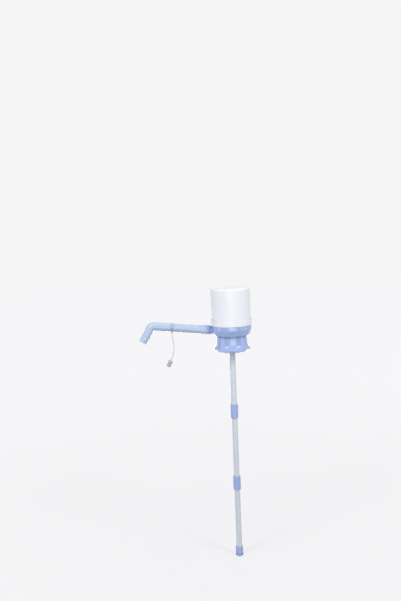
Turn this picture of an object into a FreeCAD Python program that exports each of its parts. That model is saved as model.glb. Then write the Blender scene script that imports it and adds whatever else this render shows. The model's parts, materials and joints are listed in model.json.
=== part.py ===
import FreeCAD
import Part

import math
import os

# Hand pump for a large water jug: a press cup squeezes a bellows, two ball valves turn the
# strokes into flow, and a flared lock ring grips the jug's neck.
#
# Millimetres, +Z up, spout towards -X.  The origin is the centre of the jug's mouth, the
# plane on which the neck gasket seats.

# ---------------------------------------------------------------- jug that the pump fits
MOUTH_CROWN_R = 27.5          # outside of the jug's mouth
MOUTH_WALL = 4.7
JUG_DEPTH = 465.0             # mouth to intake

# ---------------------------------------------------------------- fits
SEAT_GAP = 0.1                # parts that stop against each other
SLIP_GAP = 0.3                # between plastic parts that slide
RUNNING_GAP = 0.06            # a ring or a screw thread on its seat
PUSH_GAP = 0.02               # parts pushed together for good

# ---------------------------------------------------------------- edges
LEAD_IN = 0.8                 # chamfer that guides a part in
EDGE_BREAK = 0.4              # chamfer that takes a corner's sharpness off
EDGE_ROUNDING = 0.8           # radius of a rim that shows

# ---------------------------------------------------------------- press cup
CUP_TOP = 116.0
CUP_R = 40.2
CUP_FLARE = 0.8               # how much wider the cup is at its top
CUP_WALL = 2.0
CUP_TOP_ROUNDING = 3.2
CUP_BEAD = 0.4                # bead that the retaining ring holds down
CUP_BEAD_HEIGHT = 1.5
STROKE = 15.0
NOTCH_ROOM = 0.5              # between the outlet duct and the sides of the cup's notch

# ---------------------------------------------------------------- collar and pump chamber
COLLAR_UNDERSIDE = 19.5
COLLAR_RIM = 39.5
COLLAR_WALL = 1.0
COLLAR_FLOOR = 2.0
GUTTER_RISE = 1.0             # the floor outside the chamber wall is this much higher
COLLAR_TAPER = 3.8            # how much narrower the collar is at its underside
COLLAR_TAPER_ROOM = 0.9       # between the pressed cup and the start of the taper
COLLAR_BELLY_R = 14.0         # rounding where the taper starts
COLLAR_CORNER_R = 6.0
SNAP_HEIGHT = 3.0             # spigot on the rim, under the retaining ring
SNAP_WALL = 0.5
RING_HEIGHT = 12.0
RING_STEP = 0.3               # the ring's outside is this much larger than the collar's
RING_LIP = 3.0
SEAM_CHAMFER = 0.3            # where ring and collar meet
CHAMBER_TOP = 43.0
CHAMBER_WALL = 2.0

# ---------------------------------------------------------------- bellows
BELLOWS_WALL = 0.8
BELLOWS_FOLDS = 5
FOLD_DEPTH = 5.0
FOLD_SIDE_ROOM = 0.9          # between the folds and the cup
CUFF_HEIGHT = 6.0
CLAMP_WALL = 0.9
CLAMP_HEIGHT = 4.0
PLUG_ROOM = 2.3               # between the plug's flange and the cup
PLUG_DEPTH = 9.0
PLUG_PLATE = 2.0
PLUG_WALL = 1.8

# ---------------------------------------------------------------- inlet valve and stem
INLET_PORT_R = 4.0
INLET_BALL_R = 6.0
INLET_LIFT = 2.5
SEAT_RISE = 2.2               # height of the conical seat
INLET_BOSS_R = 8.0
INLET_BOSS_HEIGHT = 4.0
CAGE_WALL = 1.4
CAGE_SIDE_ROOM = 0.5
CAGE_WINDOW = 6.0
CAGE_WINDOWS = 4
CAGE_TOP_HOLE_R = 3.5
STEM_WALL = 2.0
STEM_LENGTH = 8.0

# ---------------------------------------------------------------- neck barrel and gasket
SHOULDER_HEIGHT = 3.4         # recessed band between collar and lock ring
SHOULDER_STEP = 1.6           # how far the band stands out from the thread
BARREL_WALL = 1.4
BARREL_SKIRT = 3.0            # how far the barrel goes down round the mouth
MOUTH_GAP = 0.2               # between the mouth and what surrounds it
PLATE_THICKNESS = 3.0
GASKET_THICKNESS = 3.0
GASKET_ROOM = 0.9             # between the spigot and the gasket
SPIGOT_WALL = 2.0
SPIGOT_LENGTH = 12.0
SOCKET_WALL = 2.0
SOCKET_LENGTH = 22.0

# ---------------------------------------------------------------- lock ring and grip ring
LOCK_WALL = 2.3               # round the thread, at the top
LOCK_TAPER = 1.0              # how much wider the ring is where its flare starts
LOCK_FLARE = 6.6              # how far the flare stands out from there
LOCK_FLARE_START = -2.0
LOCK_FLARE_HOLLOW_R = 7.0     # radius of the hollow above the flare
LOCK_FLARE_Z = -10.0
LOCK_TIP_ROUNDING = 0.8
LOCK_BOTTOM = -15.0
LOCK_RIM = 3.4                # width of the ring's flat lower rim
LOCK_LIP = 2.0
GRIP_WALL = 2.7
GRIP_TAPER = 1.2
GRIP_SLOTS = 8
GRIP_SLOT = 2.0
GRIP_BRIDGE = 2.6             # what is left above each slot

# ---------------------------------------------------------------- spout
SPOUT_RISE = 6.1              # degrees above the horizontal
SPOUT_HEIGHT = 29.8           # height of the spout's axis where it leaves the collar
DUCT_BORE_R = 4.5
DUCT_WALL = 1.5
BOSS_R = 8.5                  # flat seat for the spout on the collar
BOSS_LENGTH = 1.0
STUB_LENGTH = 16.0
SLEEVE_R = 9.4
SLEEVE_LENGTH = 19.0
SLEEVE_STEP = 1.2
ARM_R = 8.5
ARM_WALL = 2.3
BEND_X = 165.9                # pump axis to the corner of the bend
BEND_ANGLE = 66.0
BEND_INSIDE_R = 0.6           # radius along the inner side of the bend
NOZZLE_LENGTH = 38.5          # corner of the bend to the tip
NOZZLE_BORE_R = 4.5

# ---------------------------------------------------------------- outlet valve and seals
OUTLET_PORT_R = 2.6
OUTLET_BALL_R = 4.0
OUTLET_LIFT = 2.5
OUTLET_SEAT = 2.4             # length of the conical seat
STOP_LENGTH = 4.0
STOP_RIB = 1.4
STOP_WALL = 1.2
SEAL_WIDTH = 2.0
SEAL_DEPTH = 1.0              # how deep the seals' grooves are
SEAL_SPACING = 6.0
SEAL_START = 3.5              # seat to the first groove

# ---------------------------------------------------------------- stopper and its strap
TETHER_X = 123.2              # pump axis to the middle of the tether ring
TETHER_WIDTH = 5.5
TETHER_WALL = 0.9
TETHER_GROOVE = 0.5           # how deep the ring sits in the arm
STRAP_R = 1.0
STRAP_ROUTE = [(0.0, 0.0), (1.0, -13.5), (3.0, -27.5), (2.6, -40.5), (-0.2, -51.5), (-5.0, -61.5)]
STOPPER_LENGTH = 13.4
STOPPER_HEAD_R = 4.9
STOPPER_HEAD = 4.4
STOPPER_TIP_R = 3.9
STOPPER_TAPER = 2.0           # length of the lead-in at its tip
STOPPER_GAP = 0.15            # between the stopper and the nozzle that it closes
STOPPER_HOLLOW = 7.0
STOPPER_WALL = 1.2

# ---------------------------------------------------------------- dip tube
TUBE_R = 6.0
TUBE_WALL = 1.5
TUBE_SECTIONS = 3
COUPLER_WALL = 1.8
COUPLER_LENGTH = 30.0
COUPLER_WEB = 2.0
FOOT_HEIGHT = 20.0
FOOT_WALL = 1.8
FOOT_SLOTS = 4
FOOT_SLOT = 3.0
FOOT_SLOT_HEIGHT = 6.0
FOOT_CLEARANCE = 5.0          # tube end to the foot's floor

# ---------------------------------------------------------------- sizes that follow
V = FreeCAD.Vector
UP = V(0, 0, 1)

cup_inner_r = CUP_R - CUP_WALL
cup_bead_r = CUP_R + CUP_BEAD
collar_bore_r = cup_bead_r + SLIP_GAP
collar_r = collar_bore_r + COLLAR_WALL
snap_r = collar_bore_r + SNAP_WALL
snap_top = COLLAR_RIM + SNAP_HEIGHT
ring_top = COLLAR_RIM + RING_HEIGHT
lip_bottom = ring_top - RING_LIP
cup_bottom = lip_bottom - SEAT_GAP - CUP_BEAD_HEIGHT
flare_start = ring_top + STROKE
taper_top = cup_bottom - STROKE - COLLAR_TAPER_ROOM
collar_inner_floor = COLLAR_UNDERSIDE + COLLAR_FLOOR
gutter_floor = collar_inner_floor + GUTTER_RISE
gutter_drop = (taper_top - gutter_floor) / (taper_top - COLLAR_UNDERSIDE)
gutter_r = collar_bore_r - COLLAR_TAPER * gutter_drop
roof_underside = CUP_TOP - CUP_WALL

clamp_r = cup_inner_r - SLIP_GAP
cuff_r = clamp_r - CLAMP_WALL
chamber_r = cuff_r - BELLOWS_WALL
chamber_inner_r = chamber_r - CHAMBER_WALL
plug_flange_r = cup_inner_r - PLUG_ROOM
plug_r = plug_flange_r - PLUG_WALL
plug_cuff_bottom = roof_underside - PLUG_DEPTH

stem_r = INLET_PORT_R + STEM_WALL
inlet_boss_top = collar_inner_floor + INLET_BOSS_HEIGHT
stem_bottom = COLLAR_UNDERSIDE - STEM_LENGTH

plate_bottom = GASKET_THICKNESS
plate_top = plate_bottom + PLATE_THICKNESS
barrel_inner_r = MOUTH_CROWN_R + MOUTH_GAP
spigot_r = MOUTH_CROWN_R - MOUTH_WALL - SLIP_GAP
barrel_r = barrel_inner_r + BARREL_WALL
barrel_bottom = -BARREL_SKIRT
shoulder_bottom = COLLAR_UNDERSIDE - SHOULDER_HEIGHT
socket_inner_r = TUBE_R + PUSH_GAP
socket_bottom = stem_bottom - SOCKET_LENGTH
lock_bore_r = barrel_r + RUNNING_GAP
lock_r = lock_bore_r + LOCK_WALL
lock_top = shoulder_bottom - SEAT_GAP
lock_mouth_r = barrel_inner_r + MOUTH_GAP
grip_top = barrel_bottom - SEAT_GAP
grip_bottom = LOCK_BOTTOM + LOCK_LIP + RUNNING_GAP
grip_top_r = barrel_inner_r + GRIP_WALL
grip_bottom_r = grip_top_r - GRIP_TAPER

rise = math.radians(SPOUT_RISE)
spout_base_z = SPOUT_HEIGHT - collar_r * math.tan(rise)
duct_r = DUCT_BORE_R + DUCT_WALL
# Distances along the spout's axis, from the pump's axis.
boss_end = collar_r / math.cos(rise) + SLEEVE_R * math.tan(rise) + BOSS_LENGTH
stub_end = boss_end + STUB_LENGTH
sleeve_start = boss_end + SEAT_GAP
sleeve_end = sleeve_start + SLEEVE_LENGTH
socket_end = stub_end + SLIP_GAP
bend_r = ARM_R + BEND_INSIDE_R
bend = math.radians(BEND_ANGLE)
bend_setback = bend_r * math.tan(bend / 2)
bend_corner = BEND_X / math.cos(rise)
tether_middle = TETHER_X / math.cos(rise)
tether_groove_r = ARM_R - TETHER_GROOVE
tether_bore_r = tether_groove_r + RUNNING_GAP
tether_r = tether_bore_r + TETHER_WALL
seat_start = chamber_inner_r / math.cos(rise) + CHAMBER_WALL

tube_top = stem_bottom - SEAT_GAP
tube_bottom = -JUG_DEPTH + FOOT_WALL + FOOT_CLEARANCE
tube_inner_r = TUBE_R - TUBE_WALL


# ---------------------------------------------------------------- drawing helpers
def outline(corners):
    """Face in the XZ plane through (radius, height[, edge]) corners.

    A positive edge rounds the corner to that radius, a negative one chamfers it by that much.
    """
    points = [V(corner[0], 0, corner[1]) for corner in corners]
    enters = []
    leaves = []
    edges = []
    for index, corner in enumerate(corners):
        here = points[index]
        back = points[index - 1] - here
        ahead = points[(index + 1) % len(points)] - here
        edge = corner[2] if len(corner) > 2 else 0
        half = back.getAngle(ahead) / 2
        wanted = edge / math.tan(half) if edge > 0 else -edge
        setback = min(wanted, 0.49 * back.Length, 0.49 * ahead.Length)
        back.normalize()
        ahead.normalize()
        enters.append(here + back * setback)
        leaves.append(here + ahead * setback)
        if edge > 0:
            middle = V(back + ahead)
            middle.normalize()
            reach = setback / math.cos(half) - setback * math.tan(half)
            edges.append(Part.Arc(enters[-1], here + middle * reach, leaves[-1]).toShape())
        elif edge < 0:
            edges.append(Part.LineSegment(enters[-1], leaves[-1]).toShape())
        else:
            edges.append(None)
    path = []
    for index, edge in enumerate(edges):
        if edge:
            path.append(edge)
        path.append(Part.LineSegment(leaves[index], enters[(index + 1) % len(points)]).toShape())
    return Part.Face(Part.Wire(path))


def turned(corners):
    """Solid of revolution about the pump's axis."""
    return outline(corners).revolve(V(0, 0, 0), UP, 360)


def tube(outer_r, inner_r, low, high):
    """Plain ring or tube between two heights."""
    return turned([(inner_r, low), (outer_r, low), (outer_r, high), (inner_r, high)])


def rod(radius, low, high):
    """Solid cylinder on the axis between two heights."""
    return Part.makeCylinder(radius, high - low, V(0, 0, low))


def taper(start_r, end_r, length, base=V(0, 0, 0), direction=UP):
    """Solid cone, or a cylinder where both ends are the same size."""
    if math.isclose(start_r, end_r):
        return Part.makeCylinder(start_r, length, base, direction)
    return Part.makeCone(start_r, end_r, length, base, direction)


def radial_slot(width, reach, low, high, angle):
    """Block that reaches from the axis outwards at an angle, to cut a slot."""
    block = Part.makeBox(reach, width, high - low, V(0, -width / 2, low))
    block.rotate(V(0, 0, 0), UP, angle)
    return block


def along_spout(shape):
    """Move a shape drawn on the Z axis so that it lies along the spout's axis."""
    outward = V(-math.cos(rise), 0, math.sin(rise))
    upward = V(math.sin(rise), 0, math.cos(rise))
    turn = FreeCAD.Rotation(upward, V(0, 1, 0), outward, "ZXY")
    shape.Placement = FreeCAD.Placement(V(0, 0, spout_base_z), turn).multiply(shape.Placement)
    return shape


# ---------------------------------------------------------------- press head
def press_cup():
    """Thin cup with a holding bead, notched over the outlet duct."""
    top_r = CUP_R + CUP_FLARE
    cup = turned([
        (0, CUP_TOP),
        (0, roof_underside),
        (top_r - CUP_WALL, roof_underside, CUP_TOP_ROUNDING - CUP_WALL),
        (cup_inner_r, flare_start),
        (cup_inner_r, cup_bottom),
        (cup_bead_r, cup_bottom),
        (cup_bead_r, cup_bottom + CUP_BEAD_HEIGHT),
        (CUP_R, cup_bottom + CUP_BEAD_HEIGHT),
        (CUP_R, flare_start),
        (top_r, CUP_TOP, CUP_TOP_ROUNDING),
    ])
    half_width = duct_r + NOTCH_ROOM
    duct_z = spout_base_z + cup_bead_r * math.tan(rise)
    arch_z = duct_z + STROKE + SLIP_GAP
    start = V(-cup_bead_r - CUP_WALL, -half_width, duct_z)
    notch = Part.makeBox(cup_bead_r, 2 * half_width, arch_z - duct_z, start)
    arch = Part.makeCylinder(half_width, cup_bead_r, V(start.x, 0, arch_z), V(1, 0, 0))
    return cup.cut(notch).cut(arch)


def bellows_top_plug():
    """Plug under the cup's roof that closes the bellows."""
    return turned([
        (0, roof_underside),
        (0, roof_underside - PLUG_PLATE),
        (plug_r - PLUG_WALL, roof_underside - PLUG_PLATE),
        (plug_r - PLUG_WALL, plug_cuff_bottom),
        (plug_r, plug_cuff_bottom, -LEAD_IN),
        (plug_r, roof_underside - PLUG_PLATE),
        (plug_flange_r, roof_underside - PLUG_PLATE),
        (plug_flange_r, roof_underside),
    ])


# ---------------------------------------------------------------- collar and chamber
def collar_housing():
    """Bowl, chamber wall, inlet stem and outlet stub in one moulding."""
    bowl = turned([
        (chamber_inner_r, COLLAR_UNDERSIDE),
        (collar_r - COLLAR_TAPER, COLLAR_UNDERSIDE, COLLAR_CORNER_R),
        (collar_r, taper_top, COLLAR_BELLY_R),
        (collar_r, COLLAR_RIM, -SEAM_CHAMFER),
        (snap_r, COLLAR_RIM),
        (snap_r, snap_top),
        (collar_bore_r, snap_top),
        (collar_bore_r, taper_top),
        (gutter_r, gutter_floor, EDGE_ROUNDING),
        (chamber_r, gutter_floor),
        (chamber_r, CHAMBER_TOP),
        (chamber_inner_r, CHAMBER_TOP),
    ])
    centre = turned([
        (INLET_PORT_R, stem_bottom),
        (stem_r, stem_bottom),
        (stem_r, COLLAR_UNDERSIDE),
        (chamber_inner_r, COLLAR_UNDERSIDE),
        (chamber_inner_r, collar_inner_floor),
        (INLET_BOSS_R, collar_inner_floor),
        (INLET_BOSS_R, inlet_boss_top),
        (INLET_PORT_R + SEAT_RISE, inlet_boss_top),
        (INLET_PORT_R, inlet_boss_top - SEAT_RISE),
    ])
    duct_start = chamber_inner_r + CHAMBER_WALL / 2
    outside = along_spout(rod(duct_r, duct_start, stub_end))
    boss = along_spout(rod(BOSS_R, chamber_r, boss_end)).cut(cup_room())
    spindle = outside.fuse(boss)
    for start in seal_starts():
        groove = tube(SLEEVE_R, duct_r - SEAL_DEPTH, start, start + SEAL_WIDTH)
        spindle = spindle.cut(along_spout(groove))
    housing = bowl.fuse([centre, spindle]).cut(stem_seal_groove())
    return housing.cut(outlet_passage()).removeSplitter()


def cup_room():
    """Space inside the collar's wall that the cup's skirt moves in."""
    return turned([
        (0, gutter_floor),
        (gutter_r, gutter_floor),
        (collar_bore_r, taper_top),
        (collar_bore_r, lip_bottom),
        (0, lip_bottom),
    ])


def stem_seal_groove():
    """Room for the seal on the inlet stem."""
    low, high = stem_seal_span()
    return tube(stem_r + STEM_WALL, stem_r - SEAL_DEPTH, low, high)


def stem_seal_span():
    """Lowest and highest point of the seal on the inlet stem."""
    middle = stem_bottom + STEM_LENGTH / 2
    return middle - SEAL_WIDTH / 2, middle + SEAL_WIDTH / 2


def outlet_passage():
    """Water way from the chamber: port, conical seat, then the ball's bore."""
    inside = seat_start - 2 * CHAMBER_WALL
    outside = stub_end + DUCT_WALL
    port = rod(OUTLET_PORT_R, inside, outside)
    seat = Part.makeCone(OUTLET_PORT_R, DUCT_BORE_R, OUTLET_SEAT, V(0, 0, seat_start))
    bore = rod(DUCT_BORE_R, seat_start + OUTLET_SEAT, outside)
    return along_spout(port.fuse([seat, bore]))


def cup_retaining_ring():
    """Ring that snaps on the rim and keeps the cup's bead in."""
    outer_r = collar_r + RING_STEP
    lip_r = CUP_R + SLIP_GAP
    return turned([
        (outer_r, COLLAR_RIM, -SEAM_CHAMFER),
        (outer_r, ring_top, EDGE_ROUNDING),
        (lip_r, ring_top, -EDGE_BREAK),
        (lip_r, lip_bottom),
        (collar_bore_r, lip_bottom),
        (collar_bore_r, snap_top + SEAT_GAP),
        (snap_r + PUSH_GAP, snap_top + SEAT_GAP),
        (snap_r + PUSH_GAP, COLLAR_RIM),
    ])


# ---------------------------------------------------------------- bellows
def bellows():
    """Folded sleeve between the chamber wall and the top plug."""
    low = CHAMBER_TOP + SLIP_GAP
    fold_top_r = plug_r + SLIP_GAP + BELLOWS_WALL
    peak_r = cup_inner_r - FOLD_SIDE_ROOM
    valley_r = peak_r - FOLD_DEPTH
    pitch = (plug_cuff_bottom - low) / BELLOWS_FOLDS
    folds = []
    for fold in range(BELLOWS_FOLDS):
        folds.append((valley_r, low + pitch * (fold + 0.5)))
        if fold < BELLOWS_FOLDS - 1:
            folds.append((peak_r, low + pitch * (fold + 1)))
    outside = [(cuff_r, CHAMBER_TOP - CUFF_HEIGHT), (cuff_r, low)] + folds
    outside += [(fold_top_r, plug_cuff_bottom), (fold_top_r, roof_underside - PLUG_PLATE - SEAT_GAP)]
    inside = [(radius - BELLOWS_WALL, height) for radius, height in reversed(outside)]
    return turned(outside + inside)


def bellows_clamp_ring():
    """Band that holds the bellows' lower cuff on the chamber wall."""
    low = CHAMBER_TOP - CUFF_HEIGHT + (CUFF_HEIGHT - CLAMP_HEIGHT) / 2
    return tube(clamp_r, cuff_r, low, low + CLAMP_HEIGHT)


# ---------------------------------------------------------------- valves
def inlet_ball_centre():
    """Height of the ball's centre when it rests on its seat."""
    apex = inlet_boss_top - SEAT_RISE - INLET_PORT_R
    return apex + (INLET_BALL_R + SEAT_GAP) * math.sqrt(2)


def inlet_ball():
    return Part.makeSphere(INLET_BALL_R, V(0, 0, inlet_ball_centre()))


def inlet_valve_cage():
    """Four-legged cap over the inlet ball, pushed on the boss."""
    ceiling = inlet_ball_centre() + INLET_BALL_R + INLET_LIFT + SLIP_GAP
    room_r = INLET_BALL_R + CAGE_SIDE_ROOM
    skirt_r = INLET_BOSS_R + PUSH_GAP
    cage = turned([
        (CAGE_TOP_HOLE_R, ceiling),
        (room_r, ceiling),
        (room_r, inlet_boss_top),
        (skirt_r, inlet_boss_top),
        (skirt_r, collar_inner_floor),
        (skirt_r + CAGE_WALL, collar_inner_floor),
        (skirt_r + CAGE_WALL, inlet_boss_top + CAGE_WALL),
        (room_r + CAGE_WALL, inlet_boss_top + 2 * CAGE_WALL),
        (room_r + CAGE_WALL, ceiling + CAGE_WALL, -LEAD_IN),
        (CAGE_TOP_HOLE_R, ceiling + CAGE_WALL),
    ])
    low = inlet_boss_top + 2 * CAGE_WALL
    high = ceiling - CAGE_WALL
    for window in range(CAGE_WINDOWS):
        angle = 360 / CAGE_WINDOWS * (window + 0.5)
        cage = cage.cut(radial_slot(CAGE_WINDOW, 2 * INLET_BOSS_R, low, high, angle))
    return cage


def outlet_ball_place():
    """Distance of the ball's centre along the spout when it rests on its seat."""
    slope = math.atan((DUCT_BORE_R - OUTLET_PORT_R) / OUTLET_SEAT)
    apex = seat_start - OUTLET_PORT_R / math.tan(slope)
    return apex + (OUTLET_BALL_R + SEAT_GAP) / math.sin(slope)


def outlet_ball():
    return along_spout(Part.makeSphere(OUTLET_BALL_R, V(0, 0, outlet_ball_place())))


def outlet_ball_stop():
    """Ring with a crossbar, pushed into the stub, that limits the outlet ball."""
    low = outlet_ball_place() + OUTLET_BALL_R + OUTLET_LIFT + SLIP_GAP
    ring = tube(DUCT_BORE_R - PUSH_GAP, DUCT_BORE_R - STOP_WALL, low, low + STOP_LENGTH)
    length = 2 * DUCT_BORE_R - STOP_WALL
    bar = Part.makeBox(STOP_RIB, length, STOP_LENGTH / 2, V(-STOP_RIB / 2, -length / 2, low))
    return along_spout(ring.fuse(bar))


# ---------------------------------------------------------------- seals
def seal(groove_r, seat_r, low, width):
    """Ring seal with chamfered edges, from a groove's floor out to its seat."""
    edge = 0.3 * width
    return turned([
        (groove_r, low + edge),
        (groove_r + edge, low),
        (seat_r - edge, low),
        (seat_r, low + edge),
        (seat_r, low + width - edge),
        (seat_r - edge, low + width),
        (groove_r + edge, low + width),
        (groove_r, low + width - edge),
    ])


def seal_starts():
    """Distances along the spout at which the two stub grooves start."""
    return [boss_end + SEAL_START, boss_end + SEAL_START + SEAL_SPACING]


def spout_seal(start):
    return along_spout(seal(duct_r - SEAL_DEPTH, duct_r + RUNNING_GAP / 2, start, SEAL_WIDTH))


def inlet_stem_seal():
    low, high = stem_seal_span()
    return seal(stem_r - SEAL_DEPTH, stem_r + PUSH_GAP, low, high - low)


# ---------------------------------------------------------------- neck
def neck_barrel():
    """Threaded barrel, plate, spigot and dip tube socket in one moulding."""
    wall = turned([
        (barrel_inner_r, barrel_bottom),
        (barrel_r, barrel_bottom, -LEAD_IN),
        (barrel_r, shoulder_bottom),
        (barrel_r + SHOULDER_STEP, shoulder_bottom),
        (barrel_r + SHOULDER_STEP, COLLAR_UNDERSIDE),
        (barrel_inner_r, COLLAR_UNDERSIDE),
    ])
    plate = tube(barrel_inner_r, socket_inner_r, plate_bottom, plate_top)
    spigot = turned([
        (spigot_r - SPIGOT_WALL, -SPIGOT_LENGTH),
        (spigot_r, -SPIGOT_LENGTH, -LEAD_IN),
        (spigot_r, plate_bottom),
        (spigot_r - SPIGOT_WALL, plate_bottom),
    ])
    socket = tube(socket_inner_r + SOCKET_WALL, socket_inner_r, socket_bottom, COLLAR_UNDERSIDE)
    return wall.fuse([plate, spigot, socket]).removeSplitter()


def neck_gasket():
    """Flat ring that seals on the jug's mouth."""
    return tube(barrel_inner_r - SLIP_GAP, spigot_r + GASKET_ROOM, 0, GASKET_THICKNESS)


def lock_ring():
    """Flared ring: thread bore above, tapered seat for the grip ring below."""
    waist_r = lock_r + LOCK_TAPER
    return turned([
        (lock_bore_r, lock_top, -EDGE_BREAK),
        (lock_r, lock_top, EDGE_ROUNDING),
        (waist_r, LOCK_FLARE_START, LOCK_FLARE_HOLLOW_R),
        (waist_r + LOCK_FLARE, LOCK_FLARE_Z, LOCK_TIP_ROUNDING),
        (lock_mouth_r + LOCK_RIM, LOCK_BOTTOM, -EDGE_BREAK),
        (lock_mouth_r, LOCK_BOTTOM),
        (lock_mouth_r, LOCK_BOTTOM + LOCK_LIP),
        (grip_bottom_r + RUNNING_GAP, LOCK_BOTTOM + LOCK_LIP),
        (grip_top_r + RUNNING_GAP, barrel_bottom),
        (lock_bore_r, barrel_bottom + GRIP_TAPER),
    ])


def grip_ring():
    """Slotted collet round the jug's neck, open on one side."""
    ring = turned([
        (barrel_inner_r, grip_bottom),
        (grip_bottom_r, grip_bottom),
        (grip_top_r, grip_top),
        (barrel_inner_r, grip_top),
    ])
    step = 360 / GRIP_SLOTS
    for slot in range(GRIP_SLOTS):
        high = grip_top - GRIP_BRIDGE if slot else grip_top + GRIP_BRIDGE
        low = grip_bottom - GRIP_BRIDGE
        ring = ring.cut(radial_slot(GRIP_SLOT, 2 * grip_top_r, low, high, 90 + step * slot))
    return ring


# ---------------------------------------------------------------- spout
def bent_rod(root_r, end_r, start, extra):
    """Rod along Z that bends down, for the spout's outside or its bore."""
    bend_start = bend_corner - bend_setback
    arm = taper(root_r, end_r, bend_start - start, V(0, 0, start))
    section = Part.Face(Part.Wire(Part.makeCircle(end_r, V(0, 0, bend_start))))
    elbow = section.revolve(V(-bend_r, 0, bend_start), V(0, -1, 0), BEND_ANGLE)
    direction = V(-math.sin(bend), 0, math.cos(bend))
    nozzle_start = V(0, 0, bend_corner) + direction * bend_setback
    length = NOZZLE_LENGTH - bend_setback + extra
    nozzle = Part.makeCylinder(end_r, length, nozzle_start, direction)
    return arm.fuse([elbow, nozzle])


def spout_arm():
    """Sleeve that turns on the stub, long arm with the tether's groove, bend and nozzle."""
    outside = bent_rod(ARM_R, ARM_R, sleeve_end - SLEEVE_STEP, 0)
    low, high = tether_span()
    groove = tube(SLEEVE_R, tether_groove_r, low - SEAT_GAP, high + SEAT_GAP)
    sleeve = turned([
        (0, sleeve_start),
        (SLEEVE_R, sleeve_start, -EDGE_BREAK),
        (SLEEVE_R, sleeve_end - SLEEVE_STEP, EDGE_ROUNDING),
        (ARM_R, sleeve_end),
        (0, sleeve_end),
    ])
    bore = bent_rod(ARM_R - ARM_WALL, NOZZLE_BORE_R, socket_end - ARM_WALL, ARM_WALL)
    socket = rod(duct_r + RUNNING_GAP, sleeve_start - ARM_WALL, socket_end)
    arm = outside.fuse(sleeve).cut(bore.fuse([socket, groove]))
    return along_spout(arm.removeSplitter())


# ---------------------------------------------------------------- stopper
def tether_span():
    """Distances along the spout at which the tether ring starts and ends."""
    return tether_middle - TETHER_WIDTH / 2, tether_middle + TETHER_WIDTH / 2


def tether_ring():
    """Ring that holds the strap, in a groove round the arm."""
    low, high = tether_span()
    return along_spout(turned([
        (tether_bore_r, low),
        (tether_r, low, -EDGE_BREAK),
        (tether_r, high, -EDGE_BREAK),
        (tether_bore_r, high),
    ]))


def strap_points():
    """Corners of the strap's route, from the tether ring's lowest point."""
    x = -tether_middle * math.cos(rise) - tether_r * math.sin(rise)
    z = spout_base_z + tether_middle * math.sin(rise) - tether_r * math.cos(rise)
    return [V(x + dx, 0, z + dz) for dx, dz in STRAP_ROUTE]


def strap_path(points):
    """Straight runs joined by tangent arcs as large as the runs allow."""
    edges = []
    start = points[0]
    for index in range(1, len(points) - 1):
        back = points[index - 1] - points[index]
        ahead = points[index + 1] - points[index]
        half = back.getAngle(ahead) / 2
        setback = 0.45 * min(back.Length, ahead.Length)
        back.normalize()
        ahead.normalize()
        enter = points[index] + back * setback
        leave = points[index] + ahead * setback
        middle = V(back + ahead)
        middle.normalize()
        radius = setback * math.tan(half)
        top = points[index] + middle * (setback / math.cos(half) - radius)
        edges.append(Part.LineSegment(start, enter).toShape())
        edges.append(Part.Arc(enter, top, leave).toShape())
        print("strap bend radius", round(radius, 1))
        start = leave
    edges.append(Part.LineSegment(start, points[-1]).toShape())
    return Part.Wire(edges)


def tether_strap():
    points = strap_points()
    path = strap_path(points)
    section = Part.Wire(Part.makeCircle(STRAP_R, points[0], points[1] - points[0]))
    strap = path.makePipeShell([section], True, False)
    drift = strap.Volume / (math.pi * STRAP_R ** 2 * path.Length) - 1
    print("strap length", round(path.Length, 2), "volume drift", round(drift, 5))
    return strap


def nozzle_stopper():
    """Tapered stopper with a gripping head, hanging from the strap's end."""
    points = strap_points()
    fit_r = NOZZLE_BORE_R - STOPPER_GAP
    stopper = turned([
        (0, 0),
        (STOPPER_HEAD_R, 0, EDGE_ROUNDING),
        (STOPPER_HEAD_R, STOPPER_HEAD, -EDGE_BREAK),
        (fit_r, STOPPER_HEAD),
        (fit_r, STOPPER_LENGTH - STOPPER_TAPER),
        (STOPPER_TIP_R, STOPPER_LENGTH, -EDGE_BREAK),
        (STOPPER_TIP_R - STOPPER_WALL, STOPPER_LENGTH),
        (STOPPER_TIP_R - STOPPER_WALL, STOPPER_LENGTH - STOPPER_HOLLOW),
        (0, STOPPER_LENGTH - STOPPER_HOLLOW),
    ])
    direction = points[-1] - points[-2]
    stopper.Placement = FreeCAD.Placement(points[-1], FreeCAD.Rotation(UP, direction))
    return stopper


# ---------------------------------------------------------------- dip tube
def tube_length():
    """Length of one section of the dip tube."""
    return (tube_top - tube_bottom - COUPLER_WEB * (TUBE_SECTIONS - 1)) / TUBE_SECTIONS


def dip_tube(section):
    """One section, counted from the top."""
    high = tube_top - section * (tube_length() + COUPLER_WEB)
    return tube(TUBE_R, tube_inner_r, high - tube_length(), high)


def tube_coupler(joint):
    """Sleeve with an inner web that joins two sections, counted from the top."""
    middle = tube_top - (joint + 1) * tube_length() - (joint + 0.5) * COUPLER_WEB
    low = middle - COUPLER_LENGTH / 2
    high = middle + COUPLER_LENGTH / 2
    bore_r = TUBE_R + PUSH_GAP
    return turned([
        (bore_r, low),
        (bore_r + COUPLER_WALL, low, -LEAD_IN),
        (bore_r + COUPLER_WALL, high, -LEAD_IN),
        (bore_r, high),
        (bore_r, middle + COUPLER_WEB / 2),
        (tube_inner_r, middle + COUPLER_WEB / 2),
        (tube_inner_r, middle - COUPLER_WEB / 2),
        (bore_r, middle - COUPLER_WEB / 2),
    ])


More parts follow.
